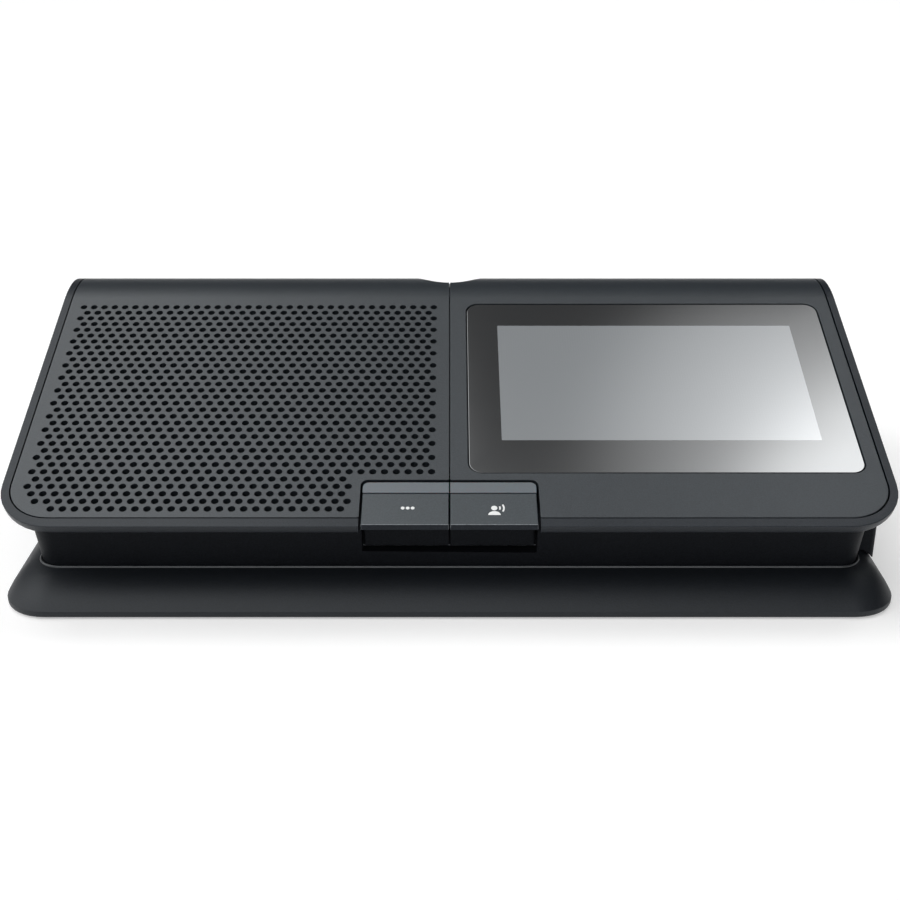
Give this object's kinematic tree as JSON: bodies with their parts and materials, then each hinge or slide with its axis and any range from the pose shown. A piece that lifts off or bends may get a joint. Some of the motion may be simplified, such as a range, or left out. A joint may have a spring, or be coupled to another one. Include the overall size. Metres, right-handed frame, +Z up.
{
  "type": "conference delegate unit",
  "caption": "Sloping desk conference station with a perforated loudspeaker cover, a touch display, two sprung front keys and a socket for a plug-in microphone.",
  "frame": {"origin": "on the table, under the middle of the unit's bounding box; the four feet stand at z = 0", "axes": "+X to the user's right, -Y towards the user, +Z up"},
  "size_m": [0.2598, 0.1476, 0.0694],
  "materials": {
    "cover_plastic": "fine-textured charcoal moulding",
    "tray_plastic": "satin charcoal moulding",
    "neck_plastic": "fine-textured near-black moulding",
    "base_plastic": "satin dark grey moulding",
    "key_plastic": "satin charcoal key cap",
    "light_lens": "translucent grey light bar",
    "display_glass": "smoked cover lens",
    "display_panel": "unlit display panel",
    "acoustic_cloth": "thin black acoustic cloth",
    "speaker_frame": "pressed steel basket",
    "speaker_cone": "black cone and dust cap",
    "magnet": "sintered ferrite",
    "circuit_board": "green solder resist",
    "switch_plastic": "black switch housing",
    "socket_plastic": "black socket moulding",
    "contact_brass": "plated contacts",
    "port_shield": "tinned jack shield",
    "screw_steel": "zinc-plated steel",
    "rubber_foot": "soft black rubber"
  },
  "bodies": {
    "station": {"base_pan": "base_plastic", "lower_housing": "neck_plastic", "body_tray": "tray_plastic", "rear_cover": "tray_plastic", "grille_cover": "cover_plastic", "display_cover": "cover_plastic", "acoustic_cloth": "acoustic_cloth", "display_glass": "display_glass", "display_panel": "display_panel", "speaker_frame": "speaker_frame", "speaker_cone": "speaker_cone", "speaker_magnet": "magnet", "key_board": "circuit_board", "menu_switch": "switch_plastic", "speak_switch": "switch_plastic", "main_board": "circuit_board", "microphone_socket": "socket_plastic", "socket_contacts": "contact_brass", "network_port_1": "port_shield", "network_port_2": "port_shield", "headphone_jack": "socket_plastic", "card_reader": "neck_plastic", "base_screw_1": "screw_steel", "base_screw_2": "screw_steel", "base_screw_3": "screw_steel", "base_screw_4": "screw_steel", "foot_1": "rubber_foot", "foot_2": "rubber_foot", "foot_3": "rubber_foot", "foot_4": "rubber_foot"},
    "menu_button": {"menu_key": "key_plastic", "menu_light": "light_lens"},
    "speak_button": {"speak_key": "key_plastic", "speak_light": "light_lens"}
  },
  "joints": [
    {"name": "menu_press", "type": "slide", "parent": "station", "child": "menu_button", "axis": [0, 0.3616, -0.9323], "range_m": [0, 0.0008], "stiffness_N_per_m": 400, "springref_m": -0.0008},
    {"name": "speak_press", "type": "slide", "parent": "station", "child": "speak_button", "axis": [0, 0.3616, -0.9323], "range_m": [0, 0.0008], "stiffness_N_per_m": 400, "springref_m": -0.0008}
  ]
}
